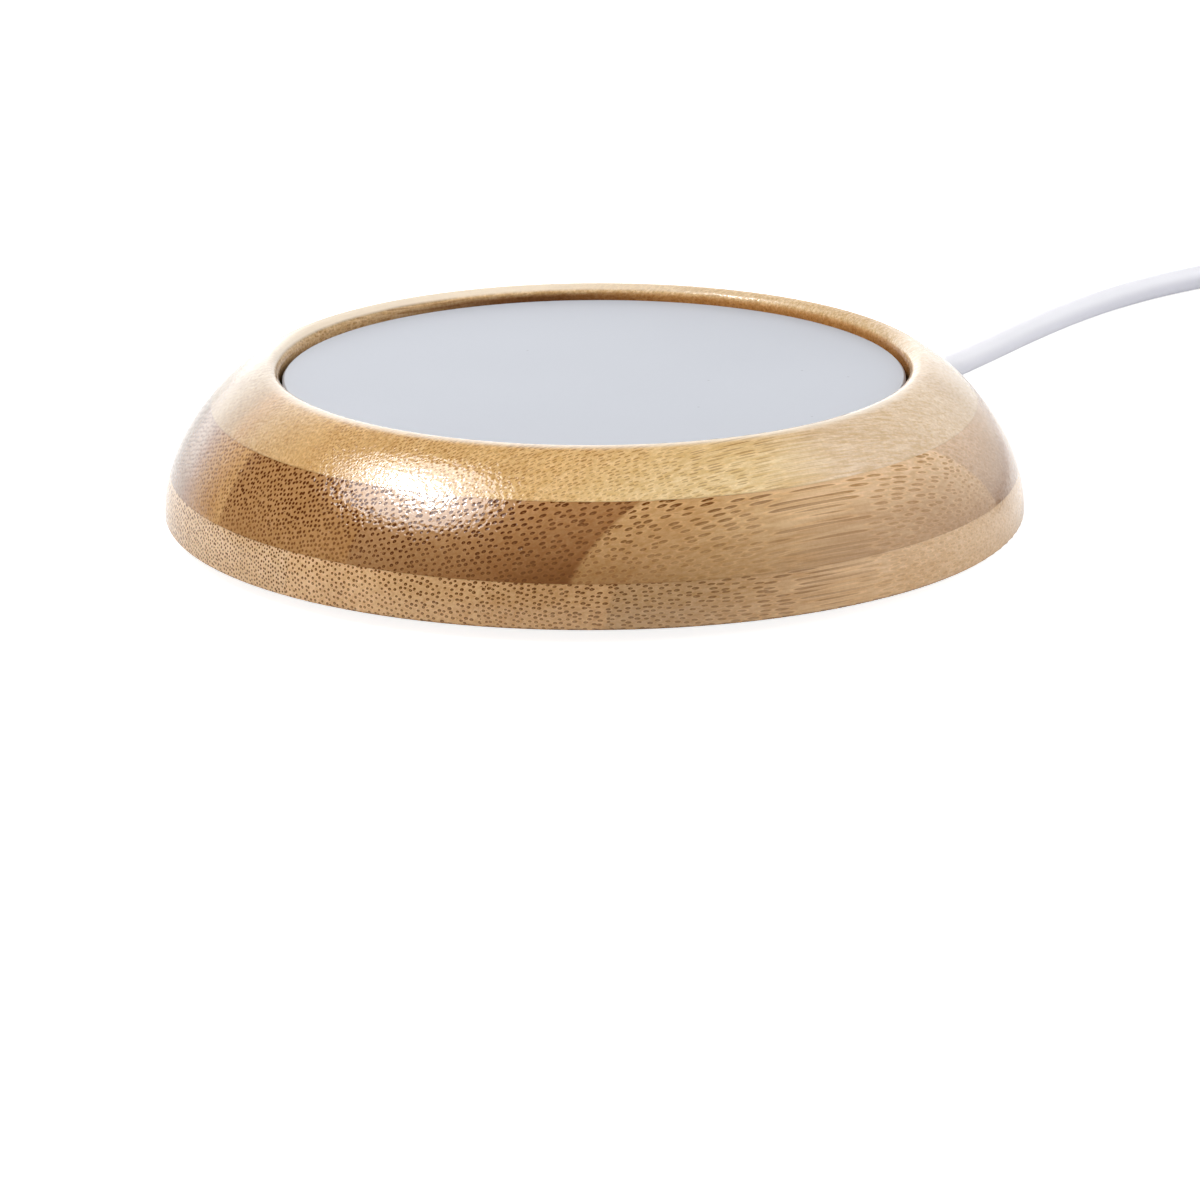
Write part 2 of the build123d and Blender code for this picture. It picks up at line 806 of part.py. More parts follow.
return_lead = tube(
    [
        (-lead_spread, cord_inner_y, cord_height),
        (-lead_spread, slot_y, cord_height),
        (-lead_spread, slot_y, channel_z),
        (end_pad[0], end_pad[1], channel_z),
        (end_pad[0], end_pad[1], track_low),
    ],
    lead_diameter,
    channel_bend_radius,
)
return_lead.part.label = "return_lead"
export_step(return_lead.part, "parts/return_lead.step")

# outer shape of the coiled length: a low ring, wider at the table
with BuildPart() as usb_cord_coil:
    with BuildSketch(Plane(origin=(*coil_centre, 0), x_dir=(1, 0, 0), z_dir=(0, -1, 0))):
        with BuildLine():
            Polyline(
                (coil_inner_radius, 0),
                (coil_outer_radius, 0),
                (coil_outer_radius, coil_side_height),
                (coil_outer_radius - coil_lean, coil_height),
                (coil_inner_radius + coil_lean, coil_height),
                (coil_inner_radius, coil_side_height),
                close=True,
            )
        make_face()
    revolve(axis=Axis((*coil_centre, 0), (0, 0, 1)))
usb_cord_coil.part.label = "usb_cord_coil"
export_step(usb_cord_coil.part, "parts/usb_cord_coil.step")

for name, route in (("usb_cord", cord_route), ("usb_cord_tail", tail_route)):
    radii = bend_radii(route)
    print(name, "bend radii", [round(radius) for radius in radii])
    full_tube = tube(route, cord_diameter, radii)
    with BuildPart() as free_cord:
        add(full_tube.part)
        add(usb_cord_coil.part, mode=Mode.SUBTRACT)
    free_cord.part.label = name
    export_step(free_cord.part, f"parts/{name}.step")

# ---- plug -------------------------------------------------------------------------------

plug_x, plug_y, plug_z = tail_route[-1]
plug_plane = Plane(origin=(plug_x, plug_y, plug_z), x_dir=(1, 0, 0), z_dir=(0, -1, 0))
plug_face = plug_boot_length + plug_body_length

with BuildPart() as usb_plug_body:
    with BuildSketch(plug_plane):
        Circle(plug_boot_radius)
    with BuildSketch(plug_plane.offset(plug_boot_length)):
        RectangleRounded(plug_width, plug_height, plug_round)
    loft()
    with BuildSketch(plug_plane.offset(plug_boot_length)):
        RectangleRounded(plug_width, plug_height, plug_round)
    extrude(amount=plug_body_length)
usb_plug_body.part.label = "usb_plug_body"
export_step(usb_plug_body.part, "parts/usb_plug_body.step")

with BuildPart() as usb_plug_shell:
    with BuildSketch(plug_plane.offset(plug_face)):
        RectangleRounded(shell_width, shell_height, shell_round)
        RectangleRounded(
            shell_width - 2 * shell_wall,
            shell_height - 2 * shell_wall,
            shell_round - shell_wall,
            mode=Mode.SUBTRACT,
        )
    extrude(amount=shell_length)
    # latch windows through the top and the underside
    with BuildSketch(Plane.XY.offset(plug_z - shell_height)):
        with Locations(
            (plug_x - window_x, plug_y - plug_face - window_inset),
            (plug_x + window_x, plug_y - plug_face - window_inset),
        ):
            Rectangle(*window_size)
    extrude(amount=2 * shell_height, mode=Mode.SUBTRACT)
usb_plug_shell.part.label = "usb_plug_shell"
export_step(usb_plug_shell.part, "parts/usb_plug_shell.step")

tongue_low = shell_height / 2 - shell_wall - tongue_height
with BuildPart() as usb_plug_tongue:
    with BuildSketch(plug_plane.offset(plug_face)):
        with Locations((0, tongue_low + tongue_height / 2)):
            Rectangle(tongue_width, tongue_height)
    extrude(amount=tongue_length)
usb_plug_tongue.part.label = "usb_plug_tongue"
export_step(usb_plug_tongue.part, "parts/usb_plug_tongue.step")

with BuildPart() as usb_plug_contacts:
    with BuildSketch(plug_plane.offset(plug_face + tongue_length - contact_size[1] - contact_setback)):
        with Locations(*[(x, tongue_low - contact_size[2] / 2) for x in contact_places]):
            Rectangle(contact_size[0], contact_size[2])
    extrude(amount=contact_size[1])
usb_plug_contacts.part.label = "usb_plug_contacts"
export_step(usb_plug_contacts.part, "parts/usb_plug_contacts.step")
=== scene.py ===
import math

import bpy
from mathutils import Matrix, Vector


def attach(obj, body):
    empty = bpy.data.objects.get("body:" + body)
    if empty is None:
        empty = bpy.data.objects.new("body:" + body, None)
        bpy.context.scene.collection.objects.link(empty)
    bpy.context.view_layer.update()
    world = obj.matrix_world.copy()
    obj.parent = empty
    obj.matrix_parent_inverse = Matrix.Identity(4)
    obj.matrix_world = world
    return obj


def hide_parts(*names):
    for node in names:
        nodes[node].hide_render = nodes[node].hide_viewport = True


# Desk mug warmer: a lacquered bamboo ring round a flush grey plate, with a white low-voltage
# cord behind it. Lengths are in millimetres, and MM turns them to metres.

MM = 0.001

# level directions as the camera sees them
BEHIND = (-0.588, 0.809, 0)
RIGHTWARD = (0.809, 0.588, 0)

WHITE = (1, 1, 1, 1)

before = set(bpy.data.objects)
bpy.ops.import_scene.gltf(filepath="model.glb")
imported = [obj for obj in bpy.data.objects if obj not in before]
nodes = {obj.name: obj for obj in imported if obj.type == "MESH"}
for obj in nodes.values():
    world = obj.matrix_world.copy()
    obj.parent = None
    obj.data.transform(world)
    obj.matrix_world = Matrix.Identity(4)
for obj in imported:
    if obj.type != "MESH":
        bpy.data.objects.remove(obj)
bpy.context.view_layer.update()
scene = bpy.context.scene


# ---- camera -----------------------------------------------------------------------------

# Solved from the photo's outline of the ring, the ply lines and the plate's rim.
IMAGE_PX = 1200
SENSOR_WIDTH = 36
FOCAL_PX = 5712.6
# from the middle of the ring's base to the middle of the picture
RIGHT_PX, DOWN_PX = 5.37, 94.4
camera_place = Vector((395.97, -545.0, 191.85)) * MM
ring_base = Vector((0, 0, 1.6)) * MM
roll = math.radians(0.274)

ahead = (ring_base - camera_place).normalized()
level_right = ahead.cross(Vector((0, 0, 1))).normalized()
level_up = level_right.cross(ahead)
right = math.cos(roll) * level_right - math.sin(roll) * level_up
up = math.sin(roll) * level_right + math.cos(roll) * level_up
ahead = (ahead * FOCAL_PX + right * RIGHT_PX - up * DOWN_PX).normalized()
right = ahead.cross(up).normalized()
up = right.cross(ahead)

camera = bpy.data.objects.new("camera", bpy.data.cameras.new("camera"))
camera.data.sensor_width = SENSOR_WIDTH
camera.data.lens = FOCAL_PX / IMAGE_PX * SENSOR_WIDTH
camera.data.clip_start = 0.01
camera.data.clip_end = 20
turn = Matrix((right, up, -ahead)).transposed().to_4x4()
camera.matrix_world = Matrix.Translation(camera_place) @ turn
scene.collection.objects.link(camera)
scene.camera = camera


# ---- cord -------------------------------------------------------------------------------

CORD_DIAMETER = 3.3
# heights of the cord's middle: on the table, and on the coil's lower layer
LYING = 1.7
STACKED = 4.55

# level out of the ring, down to the table and along it to the coil
cord_points = [(0, 52, 7), (0, 62.5, 7), (-0.1, 71, 3.5)]
cord_points += [
    (x, y, LYING) for x, y in (
        (-0.6, 79.5), (-1.5, 91.5), (-2.8, 105), (-3.5, 119), (-2.7, 133), (0.5, 147),
        (5.5, 159.5), (10, 167),
    )
]

# The spare length is wound clockwise, four turns inwards on the table and three back outwards
# on top of them. Each turn eases to the next in its last quarter.
COIL_X, COIL_Y = 35, 157
COIL_START = math.radians(150)
POINTS_PER_TURN = 18
LAST_TURN_SHARE = 0.4
EASE_FROM = 0.75
turns = [(radius, LYING) for radius in (25, 21.5, 18, 14.5)]
turns += [(radius, STACKED) for radius in (16.25, 19.75, 23.25)]


def on_coil(radius, angle, height):
    """The point of the coil at that angle round its middle."""
    return COIL_X + radius * math.cos(angle), COIL_Y + radius * math.sin(angle), height


for index, (radius, height) in enumerate(turns):
    last = index == len(turns) - 1
    next_radius, next_height = turns[index if last else index + 1]
    for step in range(round(POINTS_PER_TURN * (LAST_TURN_SHARE if last else 1))):
        share = step / POINTS_PER_TURN
        ease = max(0, (share - EASE_FROM) / (1 - EASE_FROM))
        cord_points.append(on_coil(
            radius + (next_radius - radius) * ease,
            COIL_START - 2 * math.pi * share,
            height + (next_height - height) * ease,
        ))
# off the coil and down to the plug
cord_points += [
    on_coil(23.6, math.radians(5), 4.8), on_coil(25.3, math.radians(-9), 5.0),
    (61.8, 147.5, 4.6), (64.5, 139, 3.9), (64.5, 130, 3.9),
]

curve = bpy.data.curves.new("usb_cord_jacket", "CURVE")
curve.dimensions = "3D"
# The points carry the tube's radius, because Blender adds a point's radius to a curve's box.
curve.bevel_depth = 1.0
curve.bevel_resolution = 5
curve.resolution_u = 6
curve.use_fill_caps = True
spline = curve.splines.new("NURBS")
spline.points.add(len(cord_points) - 1)
for point, place in zip(spline.points, cord_points):
    point.co = (*(c * MM for c in place), 1)
    point.radius = CORD_DIAMETER / 2 * MM
spline.order_u = 3
spline.use_endpoint_u = True
cord = bpy.data.objects.new("usb_cord_jacket", curve)
scene.collection.objects.link(cord)
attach(cord, "root")
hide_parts("usb_cord", "usb_cord_coil", "usb_cord_tail")


# ---- node helpers -----------------------------------------------------------------------


def srgb(red, green, blue):
    """A colour written as 0 to 255, turned to linear light with full alpha."""
    linear = [
        c / 255 / 12.92 if c <= 10 else ((c / 255 + 0.055) / 1.055) ** 2.4
        for c in (red, green, blue)
    ]
    return (*linear, 1)


class Graph:
    """A node tree, with one short call for each kind of node."""

    def __init__(self, tree):
        self.tree = tree

    def node(self, kind, *values, **settings):
        made = self.tree.nodes.new("ShaderNode" + kind)
        for key, value in settings.items():
            setattr(made, key, value)
        for socket, value in zip(made.inputs, values):
            self.feed(socket, value)
        return made

    def feed(self, socket, value):
        """Link a socket or set a value. None leaves the socket as it is."""
        if isinstance(value, bpy.types.NodeSocket):
            self.tree.links.new(value, socket)
        elif value is not None:
            socket.default_value = value

    def math(self, operation, *values, clamp=False):
        return self.node("Math", *values, operation=operation, use_clamp=clamp).outputs[0]

    def product(self, first, *others):
        for other in others:
            first = self.math("MULTIPLY", first, other)
        return first

    def vector(self, operation, *values):
        made = self.node("VectorMath", *values, operation=operation)
        return made.outputs["Value" if operation in ("DOT_PRODUCT", "LENGTH") else "Vector"]

    def ramp_down(self, value, start, end):
        """1 below start, 0 above end."""
        return self.node(
            "MapRange", value, start, end, 1.0, 0.0, interpolation_type="SMOOTHSTEP"
        ).outputs[0]

    def ramp_up(self, value, start, end):
        """0 below start, 1 above end."""
        return self.node(
            "MapRange", value, start, end, 0.0, 1.0, interpolation_type="SMOOTHSTEP"
        ).outputs[0]

    def between(self, value, low, high):
        """value 0 to 1 taken to low to high."""
        return self.node("MapRange", value, 0.0, 1.0, low, high).outputs[0]

    def mix(self, factor, first, second, blend="MIX"):
        made = self.node("Mix", data_type="RGBA", blend_type=blend)
        self.feed(made.inputs[0], factor)
        self.feed(made.inputs[6], first)
        self.feed(made.inputs[7], second)
        return made.outputs[2]

    def noise(self, vector, scale, detail=2.0, roughness=0.5):
        made = self.node("TexNoise", noise_dimensions="3D")
        self.feed(made.inputs["Vector"], vector)
        made.inputs["Scale"].default_value = scale
        made.inputs["Detail"].default_value = detail
        made.inputs["Roughness"].default_value = roughness
        return made.outputs[0]

    def flat_cells(self, vector, scale, randomness=1.0):
        """Cells round scattered points of the XY plane."""
        made = self.node("TexVoronoi", voronoi_dimensions="2D", feature="F1")
        self.feed(made.inputs["Vector"], vector)
        made.inputs["Scale"].default_value = scale
        made.inputs["Randomness"].default_value = randomness
        return made.outputs

    def bump(self, height, distance, strength):
        made = self.node("Bump")
        made.inputs["Strength"].default_value = strength
        made.inputs["Distance"].default_value = distance
        self.feed(made.inputs["Height"], height)
        return made.outputs[0]

    def ray_kinds(self):
        """The light path's outputs, and 1 for rays that something mirrors or lets through."""
        rays = self.node("LightPath").outputs
        passed_on = self.math("MAXIMUM", rays["Is Glossy Ray"], rays["Is Transmission Ray"])
        return rays, passed_on


class Material(Graph):
    """A new material's node tree round its one shader."""

    def __init__(self, name):
        self.material = bpy.data.materials.new(name)
        self.material.use_nodes = True
        super().__init__(self.material.node_tree)
        self.shader = self.tree.nodes["Principled BSDF"]
        self.place = self.node("TexCoord").outputs["Object"]

    def finish(self, **values):
        """Feed the shader's sockets: base_color is its "Base Color"."""
        for key, value in values.items():
            name = key.replace("_", " ").title().replace("Ior", "IOR")
            self.feed(self.shader.inputs[name], value)
        return self.material


def paint(material, *names):
    for name in names:
        for material_slot in nodes[name].material_slots:
            material_slot.material = material


# ---- bamboo -----------------------------------------------------------------------------

# Every ply is laid from strips whose fibres run the same way. The fibre bundles are a solid
# pattern: cells across the grain, drawn out along it, so they show as dots where the turned
# surface cuts the grain square and as dashes where it runs along the grain.
ACROSS = (0.9297, -0.3677, 0)
ALONG = (0.3677, 0.9297, 0)
REACH = 54  # places across the grain run from -REACH to REACH

# The bundles lie in rows. The first three numbers are in cells, and the edges in sizes of the
# bundle, which vary by chance within SIZE_SPREAD.
ROW_PITCH = 0.95
ROW_OFFSET = 0.5
SCATTER = 0.55
SIZE_SPREAD = (0.85, 1.15)
CORE_EDGE = (0.15, 0.6)
SHEATH_EDGE = (0.8, 1.2)
HALO_EDGE = (1.3, 1.7)

GLUE_LINE, SEAM = 0.14, 0.08  # half their widths
GLUE_TONE = srgb(110, 72, 38)
WALL_TONE = srgb(252, 222, 176)
# painted highlight along the front of the rim
RIM_HIGHLIGHT_TONE = srgb(250, 238, 222)
# painted sheen on the crest of the rim behind
CREST_SHEEN_TONE = srgb(250, 234, 212)
# these multiply the colour under them
DEEP_TINT = (0.42, 0.32, 0.22, 1)
HALO_TINT = (1.3, 1.28, 1.24, 1)
CLOUD_TINT = (0.90, 0.86, 0.80, 1)
GRAIN_TINT = (0.55, 0.42, 0.26, 1)
# painted shade on the lip, as tints at the left and at the right
LIP_SHADE_TINTS = ((0.24, 0.135, 0.075, 1), (0.64, 0.43, 0.25, 1))  # at the left and the right

# Zones of the rim: between the two numbers of a pair the zone fades in or out.
SIDES = (-8, 8)  # from the near to the far side, along the grain
WALL_RADIUS, WALL_HEIGHT = (39.0, 39.6), (19.0, 19.6)
INNER_FACE_RADIUS, INNER_FACE_HEIGHT = (39.6, 40.2), (19.25, 19.65)
# where the painted highlight lies along the rim in front
RIM_HIGHLIGHT_RADIUS, RIM_HIGHLIGHT_HEIGHT, RIM_HIGHLIGHT_BEHIND = (39.9, 41.0), (19.5, 19.8), (-25, -5)
# where the crest's painted sheen lies
CREST_RADIUS, CREST_BEHIND, CREST_RIGHTWARD = (41.5, 45.0), (-8, 11), (-14, 32)
# where the lip gets painted shade
LIP_RADIUS, LIP_HEIGHT, LIP_RIGHTWARD = (38.4, 38.6), (18.6, 19.7), (-34, -8)
# where the lip's painted shade turns from its left tint to its right
LIP_SHADE_RIGHTWARD = (-8, 16)
RUBBED_RADIUS, RUBBED_BEHIND = (40.5, 42.0), (5, 22)


class Ply(Material):
    """Bamboo. What is given as stops is a list of (place across the grain, value)."""

    def __init__(self, name):
        super().__init__(name)
        self.mm = self.vector("MULTIPLY", self.place, (1 / MM, 1 / MM, 1 / MM))
        self.across = self.vector("DOT_PRODUCT", self.mm, ACROSS)
        self.along = self.vector("DOT_PRODUCT", self.mm, ALONG)
        self.behind = self.vector("DOT_PRODUCT", self.mm, BEHIND)
        self.rightward = self.vector("DOT_PRODUCT", self.mm, RIGHTWARD)
        self.height = self.node("SeparateXYZ", self.mm).outputs["Z"]
        self.radius = self.vector("LENGTH", self.vector("MULTIPLY", self.mm, (1, 1, 0)))
        self.far_side = self.ramp_up(self.along, *SIDES)

    def stops(self, stops, held=False):
        """A colour for each place across the grain, blended between the stops or held."""
        share = self.node("MapRange", self.across, -REACH, REACH, 0.0, 1.0).outputs[0]
        made = self.node("ValToRGB", share)
        ramp = made.color_ramp
        ramp.interpolation = "CONSTANT" if held else "LINEAR"
        while len(ramp.elements) < len(stops):
            ramp.elements.new(1.0)
        while len(ramp.elements) > len(stops):
            ramp.elements.remove(ramp.elements[-1])
        for element, (place, colour) in zip(ramp.elements, stops):
            element.position = (place + REACH) / (2 * REACH)
            element.color = colour
        return made.outputs[0]

    def tone(self, stops):
        return self.stops([(place, srgb(*colour)) for place, colour in stops])

    def level(self, stops, held=False):
        return self.stops([(place, (value, value, value, 1)) for place, value in stops], held)

    def lay_bundles(self, cells, sizes, cores, lattice_turn, seed):
        """Staggered rows of bundles, their halos, and the distance from one in its sizes."""
        # slow drift of the bundles along the strip
        drift = self.noise(self.mm, 0.045, 1.0)
        wander = self.product(self.math("SUBTRACT", drift, 0.5), 2.4)

        cell = self.level(cells, held=True)
        turned = self.node(
            "VectorRotate", self.mm, None, ALONG, math.radians(lattice_turn),
            rotation_type="AXIS_ANGLE",
        ).outputs[0]
        u = self.math("ADD", self.vector("DOT_PRODUCT", turned, ACROSS), seed)
        u = self.math("DIVIDE", self.math("ADD", u, wander), cell)
        v = self.node("SeparateXYZ", turned).outputs["Z"]
        v = self.math("ADD", v, self.product(wander, 0.4))
        v = self.math("DIVIDE", v, self.product(cell, ROW_PITCH))
        # every other row is moved
        row = self.math("FLOOR", self.math("ADD", v, SCATTER / 2))
        u = self.math("ADD", u, self.product(self.math("PINGPONG", row, 1.0), ROW_OFFSET))
        plane = self.node("CombineXYZ", u, v, 0.0).outputs[0]
        cell_of = self.flat_cells(plane, 1.0, randomness=SCATTER)
        chance = self.node("SeparateColor", cell_of["Color"]).outputs
        local = self.vector("SUBTRACT", plane, cell_of["Position"])

        # a bundle is a dark sheath with a paler core set to one side
        size = self.product(
            self.level(sizes, held=True), self.between(chance[2], *SIZE_SPREAD)
        )
        distance = self.math("DIVIDE", self.vector("LENGTH", local), size)
        sheath = self.ramp_down(distance, *SHEATH_EDGE)
        core_place = self.node(
            "CombineXYZ",
            self.between(chance[0], -0.1, 0.1), self.between(chance[1], -0.14, -0.04), 0.0,
        ).outputs[0]
        core_distance = self.vector("LENGTH", self.vector("SUBTRACT", local, core_place))
        core = self.ramp_down(self.math("DIVIDE", core_distance, size), *CORE_EDGE)
        core_level = self.level(cores, held=True)
        bundle = self.product(
            sheath, self.math("SUBTRACT", 1.0, self.product(core, core_level))
        )
        halo = self.math("SUBTRACT", self.ramp_down(distance, *HALO_EDGE), sheath)
        return bundle, self.product(halo, core_level), distance


def bamboo(
    name, span, tones, far_tones, low_shade, mottle, streak_tint, cells, sizes, cores,
    lattice_turn, seed, darkness, far_darkness, low_fade, clustering, fibre_tint,
    far_fibre_tint, seams, glue_lines,
):
    """One ply's bamboo. [stops] marks lists of stops, and far_ is for the ring's far side.

    span                    heights of the ply's lower and upper face
    tones, far_tones        [stops] colour of the wood between the bundles, partly painted light and sheen
    low_shade               [stops] how far that deepens at the lower face
    mottle, streak_tint     [stops] strength of the grains, and tint of the fine fibres
    cells, sizes, cores     [stops] the cells' width, the bundles' size in cells, and how pale
                            their cores are
    lattice_turn, seed      tilt of the rows in degrees, and their shift
    darkness, far_darkness  [stops] how strongly the bundles show
    low_fade                [stops] what is left of that at the lower face
    clustering              how much it differs from patch to patch
    fibre_tint, far_...     tint of the bundles
    seams, glue_lines       places across the grain, and heights
    """
    g = Ply(name)
    bundle, halo, distance = g.lay_bundles(cells, sizes, cores, lattice_turn, seed)
    depth = g.node("MapRange", g.height, *span, 1.0, 0.0).outputs[0]

    base = g.mix(g.far_side, g.tone(tones), g.tone(far_tones))
    # the wall of the opening is paler, under the painted shade lower down on it
    wall = g.product(
        g.ramp_down(g.radius, *WALL_RADIUS), g.ramp_down(g.height, *WALL_HEIGHT)
    )
    base = g.mix(wall, base, WALL_TONE)
    # the strips deepen towards the lower face of the ply, and their bundles towards the upper
    base = g.mix(g.product(g.level(low_shade), depth), base, DEEP_TINT, "MULTIPLY")
    base = g.mix(halo, base, HALO_TINT, "MULTIPLY")

    # ground tissue: broad clouds, fine fibres and grains
    drawn_out = g.node("CombineXYZ", g.across, g.product(g.along, 0.035), g.height).outputs[0]
    clouds = g.noise(drawn_out, 0.16, 2.0, 0.5)
    base = g.mix(g.ramp_up(clouds, 0.3, 0.72), base, CLOUD_TINT, "MULTIPLY")
    fibres = g.noise(drawn_out, 2.6, 3.0, 0.6)
    base = g.mix(g.ramp_up(fibres, 0.25, 0.75), base, streak_tint, "MULTIPLY")
    grains = g.ramp_up(g.noise(g.mm, 2.4, 2.0, 0.7), 0.35, 0.65)
    base = g.mix(g.product(grains, g.level(mottle)), base, GRAIN_TINT, "MULTIPLY")

    # bundles, stronger in some patches than in others
    dark = g.mix(g.far_side, g.level(darkness), g.level(far_darkness))
    gathered = g.ramp_up(g.noise(g.mm, 0.16, 1.0), 0.36, 0.62)
    dark = g.product(
        dark,
        g.between(gathered, 1.0 - clustering, 1.0 + clustering * 0.4),
        g.between(depth, 1.2, g.level(low_fade)),
    )
    stain = g.math("MULTIPLY", bundle, dark, clamp=True)
    tint = g.mix(g.far_side, (*fibre_tint, 1), (*far_fibre_tint, 1))
    base = g.mix(stain, base, tint, "MULTIPLY")

    # glue lines between the plies and seams between the strips
    line = 0.0
    for value, places, width, strength in (
        (g.height, glue_lines, GLUE_LINE, 0.24), (g.across, seams, SEAM, 0.12),
    ):
        for place in places:
            gap = g.math("ABSOLUTE", g.math("SUBTRACT", value, place))
            mark = g.product(g.ramp_down(gap, width * 0.3, width), strength)
            line = g.math("MAXIMUM", line, mark)
    base = g.mix(g.product(line, g.between(g.far_side, 1.0, 0.4)), base, GLUE_TONE)

    # The rim has a painted highlight in front, a pale line where its rounded edge mirrors the
    # room behind. Behind, painted sheen makes its crest pale, most of all at the left. The lip
    # under it gets painted shade, down to the plate.
    # painted highlight: a pale line along the front of the rim's inner edge
    rim_highlight = g.product(
        g.ramp_down(g.radius, *RIM_HIGHLIGHT_RADIUS), g.ramp_up(g.height, *RIM_HIGHLIGHT_HEIGHT),
        g.ramp_down(g.behind, *RIM_HIGHLIGHT_BEHIND), 0.6,
    )
    base = g.mix(rim_highlight, base, RIM_HIGHLIGHT_TONE)
    inner_face = g.product(
        g.ramp_down(g.radius, *INNER_FACE_RADIUS), g.ramp_down(g.height, *INNER_FACE_HEIGHT)
    )
    # painted sheen: the crest behind is pale, most of all at the left
    crest_sheen = g.product(
        g.math("SUBTRACT", 1.0, inner_face), g.ramp_down(g.radius, *CREST_RADIUS),
        g.ramp_up(g.behind, *CREST_BEHIND), g.ramp_down(g.rightward, *CREST_RIGHTWARD), 0.9,
    )
    base = g.mix(crest_sheen, base, CREST_SHEEN_TONE)
    # painted shade: the lip darkens down to the plate
    lip = g.product(
        g.ramp_down(g.radius, *LIP_RADIUS), g.ramp_down(g.height, *LIP_HEIGHT),
        g.between(g.ramp_up(g.rightward, *LIP_RIGHTWARD), 0.35, 1.0),
    )
    lip_shade = g.mix(g.ramp_up(g.rightward, *LIP_SHADE_RIGHTWARD), *LIP_SHADE_TINTS)
    base = g.mix(lip, base, lip_shade, "MULTIPLY")

    # The bundles dent the wood. The lacquer over it has a slight orange peel, sinks in at
    # them, and is thinner on them and where the rim behind is rubbed.
    dents = g.bump(g.product(bundle, -1.0), 0.04 * MM, 0.5)
    sunk = g.product(g.ramp_down(distance, 0.2, 1.9), -0.15)
    peel = g.bump(g.math("ADD", g.noise(g.mm, 1.7, 1.0), sunk), 0.05 * MM, 0.9)
    rubbed = g.product(
        g.ramp_down(g.radius, *RUBBED_RADIUS), g.ramp_up(g.behind, *RUBBED_BEHIND)
    )
    return g.finish(
        base_color=base, normal=dents, roughness=0.45, specular_ior_level=0.0,
        coat_weight=g.product(g.between(stain, 1.0, 0.6), g.between(rubbed, 1.0, 0.25)),
        coat_normal=peel, coat_roughness=0.1, coat_ior=1.5,
    )


# The tones are partly the strips' own colours and partly painted light and sheen, set by place on
# the ring, most of all towards its edges and on its far side.
paint(
    bamboo(
        "bamboo_top", span=(15.2, 20),
        tones=[
            (-54, (190, 165, 130)), (-16, (196, 172, 136)), (-10, (206, 177, 136)),
            (-7, (228, 192, 148)), (-3, (236, 205, 162)), (4, (246, 212, 162)),
            (7.9, (246, 208, 152)), (8, (242, 203, 146)), (34.9, (243, 206, 148)),
            (35, (245, 209, 153)), (39, (247, 217, 164)), (44, (252, 229, 182)),
            (54, (252, 230, 188)),
        ],
        far_tones=[(-54, (244, 214, 166)), (34, (248, 227, 200)), (54, (242, 219, 192))],
        low_shade=[(-54, 0.0)],
        mottle=[(-54, 0.42), (28, 0.42), (42, 0.16)], streak_tint=(0.80, 0.70, 0.54, 1),
        cells=[(-54, 0.5), (-22, 0.42), (8, 0.38), (35, 0.4)],
        sizes=[(-54, 0.3), (8, 0.28), (35, 0.26)],
        cores=[(-54, 0.3)],
        lattice_turn=20, seed=3.1,
        darkness=[(-54, 0.25), (7.9, 0.3), (8, 0.42), (30, 0.5), (42, 0.4)],
        far_darkness=[(-54, 0.2), (20, 0.1)],
        low_fade=[(-54, 0.9)],
        clustering=0.4,
        fibre_tint=(0.34, 0.16, 0.03), far_fibre_tint=(0.5, 0.3, 0.1),
        seams=[-22, 8, 35], glue_lines=[15.2],
    ),
    "bamboo_top_ply",
)
paint(
    bamboo(
        "bamboo_middle", span=(6.9, 15.2),
        tones=[
            (-54, (176, 148, 124)), (-23, (178, 150, 128)), (-15.5, (186, 156, 132)),
            (-13, (184, 142, 108)), (-10, (203, 158, 108)), (-5, (222, 175, 120)),
            (-1.6, (228, 182, 124)), (-1.5, (204, 156, 104)), (20.9, (202, 154, 102)),
            (21, (208, 164, 118)), (28, (207, 163, 116)), (32, (202, 156, 108)),
            (36, (196, 148, 100)), (41.8, (178, 130, 84)), (41.9, (222, 180, 128)),
            (45, (224, 183, 133)), (48, (234, 198, 150)), (54, (238, 204, 158)),
        ],
        far_tones=[
            (-54, (226, 182, 132)), (20.9, (222, 180, 130)), (21, (224, 190, 156)),
            (41.8, (232, 200, 168)), (41.9, (254, 222, 184)), (48, (242, 206, 162)),
            (54, (230, 194, 150)),
        ],
        low_shade=[
            (-54, 0.12), (-1.6, 0.12), (-1.5, 0.2), (20.9, 0.2), (21, 0.55), (36, 0.8),
            (41.8, 0.85), (41.9, 0.7), (48, 0.8), (50, 0.6),
        ],
        mottle=[(-54, 0.12)], streak_tint=(0.80, 0.72, 0.60, 1),
        cells=[(-54, 0.62), (-23, 0.54), (-1.5, 0.58), (21, 0.66), (41.9, 0.68)],
        sizes=[(-54, 0.28), (-23, 0.28), (-1.5, 0.3), (21, 0.27), (41.9, 0.26)],
        cores=[(-54, 0.05), (21, 0.45), (41.9, 0.4)],
        lattice_turn=16, seed=11.7,
        darkness=[
            (-54, 0.7), (-1.6, 0.75), (-1.5, 1.1), (20.9, 1.1), (21, 1.2), (34, 1.1),
            (41.8, 0.7), (41.9, 1.0), (44, 0.85), (47, 0.6), (51, 0.35),
        ],
        far_darkness=[(-54, 0.4), (20.9, 0.4), (21, 0.08), (41.8, 0.1), (41.9, 0.7)],
        low_fade=[(-54, 0.6), (20.9, 0.6), (21, 0.8), (41.8, 0.4), (41.9, 0.22)],
        clustering=0.15,
        fibre_tint=(0.21, 0.10, 0.02), far_fibre_tint=(0.5, 0.35, 0.1),
        seams=[-44.5, -23, -1.5, 21, 41.9], glue_lines=[6.9, 15.2],
    ),
    "bamboo_middle_ply",
)
